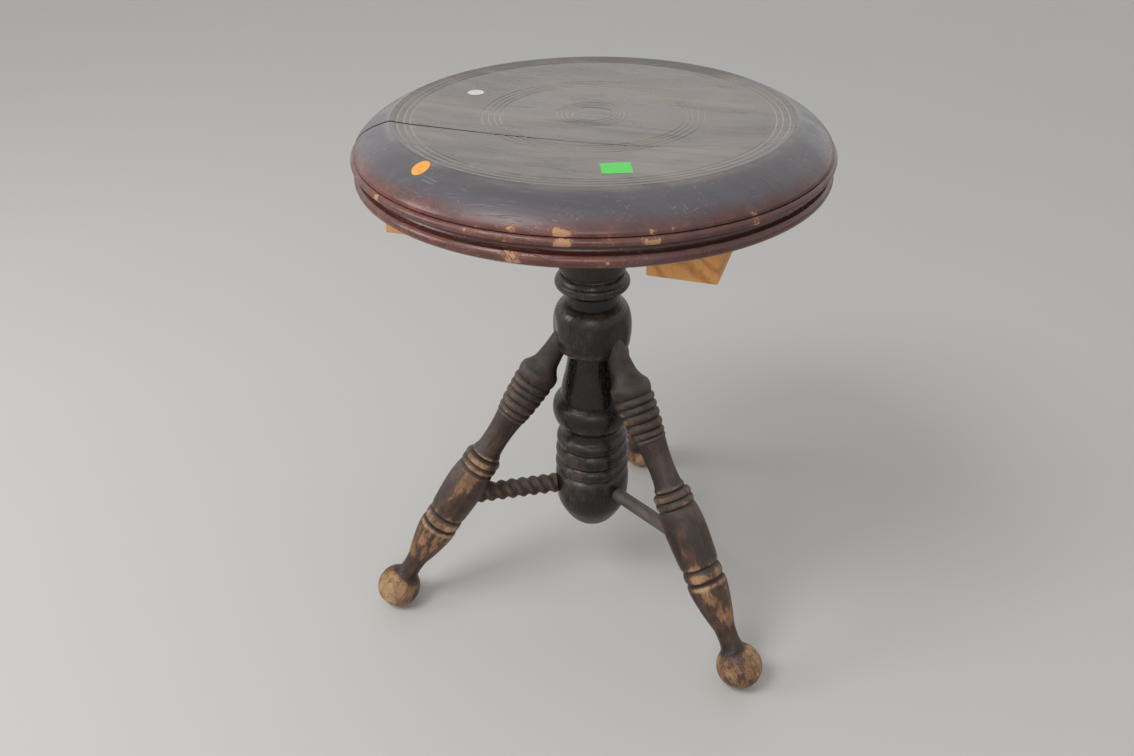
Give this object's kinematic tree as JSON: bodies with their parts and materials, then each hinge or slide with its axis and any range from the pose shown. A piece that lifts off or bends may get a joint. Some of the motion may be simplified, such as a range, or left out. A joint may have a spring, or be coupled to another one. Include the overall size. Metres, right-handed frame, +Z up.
{
  "type": "revolving piano stool",
  "caption": "Old revolving piano stool: round turned seat on a screw, turned column, splayed turned legs with ball feet, stretchers and cross battens.",
  "frame": {"origin": "on the floor, on the axis of the column and of the adjusting screw", "axes": "+Z is up along the column, +Y runs from the column towards the back leg, and +X is to the right; the seat's grain runs along X and its battens along Y"},
  "size_m": [0.356, 0.3799, 0.451],
  "materials": {
    "seat_wood": "worn dark red varnish",
    "batten_pine": "raw sawn pine",
    "hub_wood": "worn dark brown varnish",
    "black_wood": "worn black satin",
    "leg_wood": "black finish worn to bare wood near the feet",
    "twist_wood": "worn brown varnish",
    "dowel_wood": "dull grey brown",
    "iron": "dark iron, dull",
    "spindle_steel": "oiled steel thread",
    "screw_steel": "dull steel"
  },
  "bodies": {
    "base": {"column": "black_wood", "column_nut": "iron", "nut_screws": "screw_steel", "leg_left": "leg_wood", "leg_right": "leg_wood", "leg_back": "leg_wood", "stretcher_left": "twist_wood", "stretcher_right": "dowel_wood", "stretcher_back": "twist_wood"},
    "washer": {"thrust_washer": "iron"},
    "seat": {"seat_board_front": "seat_wood", "seat_board_middle": "seat_wood", "seat_board_back": "seat_wood", "batten_left": "batten_pine", "batten_right": "batten_pine", "batten_screws": "screw_steel", "seat_hub": "hub_wood", "hub_screws": "screw_steel", "seat_plate": "iron", "plate_screws": "screw_steel", "adjusting_screw": "spindle_steel"}
  },
  "joints": [
    {"name": "seat_turn", "type": "hinge", "parent": "base", "child": "washer", "pos_m": [0, 0, 0.321], "axis": [0, 0, 1], "range_deg": [0, 5400]},
    {"name": "seat_rise", "type": "slide", "parent": "washer", "child": "seat", "axis": [0, 0, 1], "range_m": [0, 0.09]}
  ],
  "couplings": [
    {"joint": "seat_rise", "follows": "seat_turn", "m_per_rad": 0.00095493}
  ]
}
